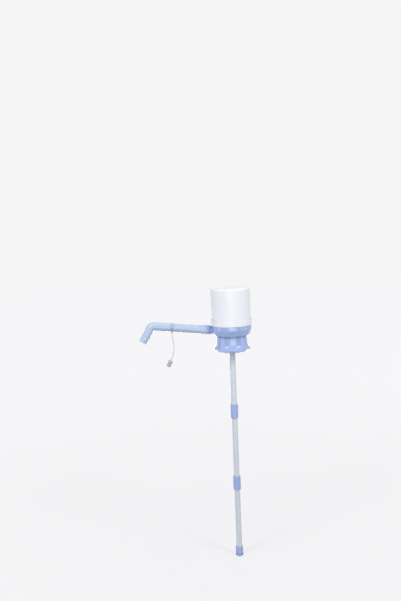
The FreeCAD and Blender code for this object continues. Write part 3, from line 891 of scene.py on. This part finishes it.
@dataclass
class NeckClamp(SubAssembly):
    """Threaded barrel, gasket, lock ring and the slotted grip ring.

    Attributes:
        barrel_r: Crest radius of the thread.
        bore_r: Bore of the barrel.
        skirt_z: Lowest point of the barrel.
        lead_in: Size of the chamfer that leads the lock ring on.
        shoulder_r: Radius of the band above the thread.
        shoulder_z: Lower edge of that band.
        plate_z: Lower and upper face of the plate.
        spigot_r: Radius of the spigot that enters the jug.
        spigot_wall: Thickness of the spigot.
        socket_r: Radius of the dip tube's socket.
        socket_bore_r: Bore of that socket.
        socket_z: Lowest point of the socket.
        thread_pitch: Rise of the thread in one turn.
        thread_depth: Depth of the thread.
        thread_top: Height at which the thread runs out.
        thread_crest: Share of half a pitch that the crest takes.
        thread_flank: Share of half a pitch that a flank takes.
        thread_row: Spacing of the mesh's rows along the thread.
    """

    barrel_r: float = 29.1
    bore_r: float = 27.7
    skirt_z: float = -3.0
    lead_in: float = 0.8
    shoulder_r: float = 30.7
    shoulder_z: float = 16.1
    plate_z: Range = (3.0, 6.0)
    spigot_r: float = 22.5
    spigot_wall: float = 2.0
    socket_r: float = 8.02
    socket_bore_r: float = 6.02
    socket_z: float = -10.5
    thread_pitch: float = 3.0
    thread_depth: float = 0.6
    thread_top: float = 14.5
    thread_crest: float = 0.3
    thread_flank: float = 0.35
    thread_row: float = 0.25

    def build(self) -> None:
        """Dress the rings and the gasket and build the threaded barrel."""
        self.dress(Finish.BLUE_SHELL, ["lock_ring"])
        self.dress(Finish.NATURAL_COLLET, ["grip_ring"])
        self.dress(Finish.SEAL, ["neck_gasket"])
        self.build_barrel()

    def build_barrel(self) -> None:
        """Build the barrel with its thread cut into the wall."""
        low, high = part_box("neck_barrel")
        plate_low, plate_high = self.plate_z
        spigot_z, top_z = low.z / MM, high.z / MM
        spigot_bore_r = self.spigot_r - self.spigot_wall
        thread_z = self.skirt_z + self.lead_in
        rows = round((self.shoulder_z - thread_z - self.thread_row) / self.thread_row)
        corners: Outline = [(self.barrel_r - self.lead_in, self.skirt_z)]
        corners += [(self.barrel_r, thread_z + self.thread_row * row) for row in range(rows)]
        corners += [
            (self.barrel_r, self.shoulder_z), (self.shoulder_r, self.shoulder_z, 0.2),
            (self.shoulder_r, top_z), (self.bore_r, top_z),
            (self.bore_r, plate_high, 0.6), (self.socket_r, plate_high, 0.6),
            (self.socket_r, top_z, 0.3), (self.socket_bore_r, top_z, 0.3),
            (self.socket_bore_r, self.socket_z, 0.3), (self.socket_r, self.socket_z, 0.6),
            (self.socket_r, plate_low, 0.6), (spigot_bore_r, plate_low, 0.6),
            (spigot_bore_r, spigot_z, 0.4), (self.spigot_r, spigot_z, 0.8),
            (self.spigot_r, plate_low, 0.4), (self.bore_r, plate_low, 0.4),
            (self.bore_r, self.skirt_z, 0.3),
        ]
        barrel = turned("threaded_barrel", rounded(corners), relief=self.thread)
        self.fit(barrel, Body.PUMP, Finish.BLUE_SHELL, "blue_shell", ["neck_barrel"])

    def thread(self, angle: float, reach: float, height: float) -> float:
        """How deep a right-handed trapezoidal thread cuts into the barrel.

        Args:
            angle: Angle about the pump's axis.
            reach: Radius of the uncut surface in metres.
            height: Height in metres.

        Returns:
            Depth of the cut in metres.
        """
        if not math.isclose(reach, self.barrel_r * MM, abs_tol=NO_DISTANCE):
            return 0.0
        turn = height / (self.thread_pitch * MM) - angle / math.tau
        from_crest = abs(turn - math.floor(turn) - 0.5) * 2
        flank = min(1.0, max(0.0, (from_crest - self.thread_crest) / self.thread_flank))
        run_out = min(1.0, max(0.0, (self.thread_top * MM - height) / (self.thread_pitch * MM)))
        return self.thread_depth * MM * flank * run_out


@dataclass
class Spout(SubAssembly):
    """The long spout and the seals on which it turns.

    Attributes:
        groove_r: Radius of the floor of the seals' grooves.
        groove_width: Width of the grooves.
        socket_r: Bore of the spout's socket, on which the seals press.
    """

    groove_r: float = 5.0
    groove_width: float = 2.0
    socket_r: float = 6.03

    def build(self) -> None:
        """Dress the spout and build the seals."""
        self.dress(Finish.PALE_SPOUT, ["spout_arm"])
        for name in ("spout_seal_inner", "spout_seal_outer"):
            title = name.replace("spout_seal", "spout_ring_seal")
            seal = ring_seal(title, self.groove_r, self.socket_r, self.groove_width, place_on_spout(name))
            self.fit(seal, Body.PUMP, Finish.SEAL, "seal_rubber", [name])


@dataclass
class Tether(SubAssembly):
    """Ring on the spout, strap and stopper.

    Attributes:
        ring_bore_r: Bore of the ring.
        ring_wall: Thickness of the ring.
        ring_width: Width of the ring along the spout.
        ring_edge: Rounding of the ring's inner edges.
        ring_steps: Depth under the ring's outside, distance from the ring's end and rounding of each
            corner of the band and the groove that run round each end.
        strap_r: Radius of the strap.
        strap_top: Where the strap leaves the ring, in metres.
        strap_route: Corners of the strap's route from there, in metres.
        root_shape: Outline of a flared root about the strap, from its sunken foot.
        stopper_shape: Outline of the stopper, from its head over two sealing beads to its hollow tip.
    """

    ring_bore_r: float = 8.06
    ring_wall: float = 0.89
    ring_width: float = 5.5
    ring_edge: float = 0.15
    ring_steps: Outline = field(default_factory=lambda: [
        (0.1, 0.0, 0.15), (0.1, 0.4, 0.1), (0.6, 0.5, 0.1), (0.6, 1.2, 0.1), (0.0, 1.4, 0.2),
    ])
    strap_r: float = 1.0
    strap_top: Triple = (-0.12415, 0.0, 0.02958)
    strap_route: list[tuple[float, float]] = field(default_factory=lambda: [
        (0.0, 0.0), (0.0010, -0.0135), (0.0030, -0.0275), (0.0026, -0.0405), (-0.0002, -0.0515),
        (-0.0050, -0.0615),
    ])
    root_shape: Outline = field(default_factory=lambda: [
        (0.0, -0.3), (1.9, -0.3), (1.9, 0.2, 0.3), (1.1, 1.4, 1.2), (1.1, 3.2, 0.1), (0.0, 3.2),
    ])
    stopper_shape: Outline = field(default_factory=lambda: [
        (0.0, 0.0), (4.9, 0.0, 0.9), (4.9, 4.4, 0.4),
        (4.15, 4.6, 0.2), (4.35, 6.0, 0.5), (4.15, 7.4, 0.3), (4.35, 8.8, 0.5),
        (3.9, 13.4, 0.5), (2.7, 13.4, 0.3), (2.7, 6.4, 0.6), (0.0, 6.4),
    ])

    def build(self) -> None:
        """Build the ring, the strap with its two roots, and the stopper."""
        half = self.ring_width / 2
        ring_r = self.ring_bore_r + self.ring_wall
        side: Outline = [(self.ring_bore_r, -half, self.ring_edge)]
        side += [(ring_r - depth, along - half, edge) for depth, along, edge in self.ring_steps]
        far_side = [(reach, -along, edge) for reach, along, edge in reversed(side)]
        ring = turned("strap_ring", rounded(side + far_side), place_on_spout("tether_ring"))
        self.fit(ring, Body.TETHER, Finish.PALE_SPOUT, "soft_strap", ["tether_ring"])
        top = Vector(self.strap_top)
        route = [top + Vector((across, 0, down)) for across, down in self.strap_route]
        for name, end, neighbour in (("strap_root", 0, 1), ("stopper_root", -1, -2)):
            root = self.on_strap(name, self.root_shape, route[end], route[neighbour] - route[end])
            self.fit(root, Body.TETHER, Finish.STRAP, "soft_strap")
        stopper = self.on_strap("tethered_stopper", self.stopper_shape, route[-1], route[-1] - route[-2])
        self.fit(stopper, Body.TETHER, Finish.SHADED_STOPPER, "soft_strap", ["nozzle_stopper"])
        self.build_strap(route, stopper)

    def on_strap(self, name: str, shape: Outline, point: Vector, direction: Vector) -> bpy.types.Object:
        """Turn a piece about an end of the strap.

        Args:
            name: Name of the piece.
            shape: Its outline.
            point: Where its axis starts.
            direction: Which way its axis points.

        Returns:
            The new object.
        """
        place = Matrix.Translation(point) @ direction.to_track_quat("Z", "Y").to_matrix().to_4x4()
        return turned(name, rounded(shape), place)

    def build_strap(self, route: list[Vector], stopper: bpy.types.Object) -> None:
        """Build the strap as one smooth cord.

        Args:
            route: Corners of its route.
            stopper: The piece on its far end; not used.
        """
        curve = bpy.data.curves.new("stopper_strap", "CURVE")
        curve.dimensions = "3D"
        curve.bevel_depth = self.strap_r * MM
        curve.bevel_resolution = 6
        curve.use_fill_caps = True
        spline = curve.splines.new("NURBS")
        spline.points.add(len(route) - 1)
        for point, corner in zip(spline.points, route):
            point.co = (*corner, 1.0)
        spline.order_u = 3
        spline.use_endpoint_u = True
        spline.resolution_u = 16
        strap = bpy.data.objects.new("stopper_strap", curve)
        bpy.context.scene.collection.objects.link(strap)
        self.fit(strap, Body.TETHER, Finish.STRAP, "soft_strap", ["tether_strap"])


@dataclass
class DipTube(SubAssembly):
    """The tube's three lengths, their couplers and the intake foot."""

    def build(self) -> None:
        """Dress all of them."""
        self.dress(Finish.TUBE, ["dip_tube_upper", "dip_tube_middle", "dip_tube_lower"])
        self.dress(Finish.COUPLER, ["tube_coupler_upper", "tube_coupler_lower", "intake_foot"])


# -------------------- studio
@dataclass(frozen=True)
class Softbox:
    """A soft lamp that faces the pump.

    Attributes:
        name: Name of the lamp.
        azimuth: Degrees to the right of the camera's side of the pump.
        elevation: Degrees above the pump.
        distance: Metres from the pump.
        size: Width and height in metres.
        watts: Power.
        colour: Linear colour of its light.
        flagged: Whether a flag keeps its light off the floor.
    """

    name: str
    azimuth: float
    elevation: float
    distance: float
    size: tuple[float, float]
    watts: float
    colour: Triple = (1.0, 1.0, 1.0)
    flagged: bool = False

    def build(self, target: Vector, floor: bpy.types.Object) -> None:
        """Hang the lamp, aim it at the target and flag it from the floor.

        Args:
            target: Point that it faces.
            floor: The floor, which a flagged lamp leaves unlit.
        """
        lamp = bpy.data.lights.new(self.name, "AREA")
        lamp.shape = "RECTANGLE"
        lamp.size, lamp.size_y = self.size
        lamp.energy = self.watts
        lamp.color = self.colour
        turn, rise = math.radians(self.azimuth), math.radians(self.elevation)
        level = Vector((math.sin(turn), -math.cos(turn), 0)) * math.cos(rise)
        away = level + Vector((0, 0, math.sin(rise)))
        stand = bpy.data.objects.new(self.name, lamp)
        stand.location = target + away * self.distance
        stand.rotation_mode = "QUATERNION"
        stand.rotation_quaternion = away.to_track_quat("Z", "Y")
        stand.visible_camera = False
        if self.flagged:
            flag = bpy.data.collections.new(f"{self.name}_flag")
            flag.objects.link(floor)
            flag.collection_objects[0].light_linking.link_state = "EXCLUDE"
            stand.light_linking.receiver_collection = flag
        bpy.context.scene.collection.objects.link(stand)


@dataclass
class Studio:
    """Pale floor, soft lamps, an even surround and the camera.

    Attributes:
        backdrop: Colour behind the pump.
        paper: True colours of the floor's paper, which bounces light up.
        paper_cloud: Width of a cloud in the paper; its fibres are too fine to show.
        surround: Strength of the even light from all round.
        surround_colour: Linear colour of that light.
        floor_share: How much of the light on the floor shows in it, and with it the shadows.
        pool_light: Strength of the lamps' light in the middle of its pool, given as surround is.
        pool_r: Radius over which the pool fades on the floor, in metres.
        pool_fall: How steeply it fades.
        pool_at: The pool's middle in metres.
        floor_gap: Distance from the pump's foot to the floor.
        floor_r: Radius of the floor in metres.
        floor_sides: Number of the floor's sides.
        lamps_at: Point that the lamps face, in metres.
        camera_at: The camera's place in metres.
        camera_pitch: Degrees that the camera looks down.
        camera_roll: Degrees that it leans clockwise.
        sensor: Long side of the camera's sensor.
        lens: The camera's focal length.
        softboxes: The lamps.
    """

    backdrop: str = "#F5F5F6"
    paper: tuple[str, str] = ("#B9BABC", "#BDBEC0")
    paper_cloud: float = 4.0
    surround: float = 0.33
    surround_colour: tuple[float, float, float, float] = (0.97, 0.98, 1.05, 1.0)
    floor_share: float = 0.3
    pool_light: float = 0.54
    pool_r: float = 2.3
    pool_fall: float = 3.0
    pool_at: Triple = (0.0, -0.3, 0.0)
    floor_gap: float = 1.0
    floor_r: float = 8.0
    floor_sides: int = 96
    lamps_at: Triple = (0.0, 0.0, 0.02)
    camera_at: Triple = (-0.0619, -1.240, 0.227)
    camera_pitch: float = 6.2
    camera_roll: float = 2.4
    sensor: float = 36.0
    lens: float = 36.1
    softboxes: list[Softbox] = field(default_factory=lambda: [
        Softbox("left_key", -47.0, 38.0, 1.5, (0.5, 0.7), 8.8),
        Softbox("right_key", 49.0, 38.0, 1.5, (0.5, 0.7), 8.8),
        Softbox("top_softbox", 0.0, 72.0, 1.5, (1.3, 1.0), 1.4),
        Softbox("front_fill", 4.0, -12.0, 1.5, (1.1, 0.55), 5.6, flagged=True),
        Softbox("left_fill", -75.0, 0.0, 1.5, (0.7, 0.9), 2.2, (1.0, 0.97, 1.25), flagged=True),
        Softbox("right_fill", 80.0, 0.0, 1.5, (0.7, 0.9), 1.9, flagged=True),
        Softbox("low_back", 180.0, -16.0, 1.4, (0.5, 0.5), 8.5, flagged=True),
        Softbox("high_back", 165.0, 50.0, 1.7, (1.2, 0.8), 2.4),
    ])

    def build(self) -> None:
        """Build the surround, the floor, the lamps and the camera."""
        self.build_surround()
        floor = self.build_floor()
        for softbox in self.softboxes:
            softbox.build(Vector(self.lamps_at), floor)
        self.build_camera()

    def by_sight(self, tree: bpy.types.NodeTree, light: Socket, shown: Socket) -> Socket:
        """Let what is seen differ from what only sends light.

        Args:
            tree: Nodes of the world or of a material.
            light: Shader for the light that it sends.
            shown: Shader for rays from the camera, a glossy surface or clear plastic.

        Returns:
            Output socket of the shader for all rays.
        """
        path = add_node(tree, "ShaderNodeLightPath")
        plain = calculate(tree, "MAXIMUM", path["Is Camera Ray"], path["Is Glossy Ray"])
        seen = calculate(tree, "MAXIMUM", plain, path["Is Transmission Ray"])
        return add_node(tree, "ShaderNodeMixShader", {0: seen, 1: light, 2: shown})[0]

    def build_surround(self) -> None:
        """Light the pump evenly from all round, behind a backdrop of its own colour."""
        world = bpy.data.worlds.new("surround")
        world.use_nodes = True
        tree = world.node_tree
        tree.nodes.clear()
        light = add_node(tree, "ShaderNodeBackground", {
            "Color": self.surround_colour, "Strength": self.surround,
        })[0]
        shown = add_node(tree, "ShaderNodeBackground", {"Color": linear(self.backdrop)})[0]
        add_node(tree, "ShaderNodeOutputWorld", {"Surface": self.by_sight(tree, light, shown)})
        bpy.context.scene.world = world

    def build_floor(self) -> bpy.types.Object:
        """Lay a round floor under the pump's foot.

        Returns:
            The floor.
        """
        low, _ = CAD_BOUNDS
        mesh = bmesh.new()
        bmesh.ops.create_circle(mesh, cap_ends=True, segments=self.floor_sides, radius=self.floor_r)
        floor = as_object("floor", mesh)
        floor.location.z = low.z - self.floor_gap * MM
        floor.data.materials.append(self.paper_material())
        return floor

    def paper_material(self) -> bpy.types.Material:
        """Matte seamless paper that keeps the pump's shadow and meets the backdrop's colour.

        Returns:
            The material.
        """
        material = empty_material("seamless_paper")
        tree = material.node_tree
        patterns = Patterns(tree)
        clouds = patterns.noise(self.paper_cloud, detail=3.0)
        true_colour = patterns.blend(clouds, *(linear(colour) for colour in self.paper))
        paper = add_node(tree, "ShaderNodeBsdfDiffuse", {"Color": true_colour})[0]
        share = self.floor_share
        shadowed = add_node(tree, "ShaderNodeBsdfDiffuse", {"Color": (share, share, share, 1.0)})[0]
        lift = add_node(tree, "ShaderNodeEmission", {
            "Color": linear(self.backdrop), "Strength": self.lift(patterns),
        })[0]
        lifted = add_node(tree, "ShaderNodeAddShader", {0: shadowed, 1: lift})[0]
        add_node(tree, "ShaderNodeOutputMaterial", {"Surface": self.by_sight(tree, paper, lifted)})
        return material

    def lift(self, patterns: Patterns) -> Socket:
        """Work out what the light on the floor leaves short of the backdrop's colour.

        With this lift the open floor is as bright as the backdrop, and only shadows are darker.

        Args:
            patterns: Adds patterns to the floor's material.

        Returns:
            Output socket of the missing share of the backdrop's colour.
        """
        tree = patterns.tree
        away = add_node(tree, "ShaderNodeVectorMath", {
            0: patterns.place(), 1: self.pool_at,
        }, operation="SUBTRACT")[0]
        square = add_node(tree, "ShaderNodeVectorMath", {
            0: away, 1: away,
        }, operation="DOT_PRODUCT")["Value"]
        spread = calculate(tree, "MULTIPLY_ADD", square, self.pool_r ** -2, 1.0)
        pool = calculate(tree, "POWER", spread, -self.pool_fall)
        shown = self.floor_share / linear(self.backdrop)[0]
        lack = 1.0 - shown * self.surround
        return calculate(tree, "MULTIPLY_ADD", pool, -shown * self.pool_light, lack)

    def build_camera(self) -> None:
        """Place the camera."""
        data = bpy.data.cameras.new("camera")
        data.sensor_fit = "AUTO"
        data.sensor_width = self.sensor
        data.lens = self.lens
        camera = bpy.data.objects.new("camera", data)
        bpy.context.scene.collection.objects.link(camera)
        pitch = Matrix.Rotation(math.radians(90 - self.camera_pitch), 4, "X")
        roll = Matrix.Rotation(math.radians(-self.camera_roll), 4, "Z")
        camera.matrix_world = Matrix.Translation(self.camera_at) @ pitch @ roll
        bpy.context.scene.camera = camera
        bpy.context.scene.view_settings.view_transform = "Standard"


def main() -> None:
    """Build the studio and every sub-assembly."""
    logging.basicConfig(level=logging.INFO, format="%(name)s: %(message)s")
    Studio().build()
    for sub_assembly in (PressHead(), PumpChamber(), NeckClamp(), Spout(), Tether(), DipTube()):
        sub_assembly.build()


if __name__ == "__main__":
    main()
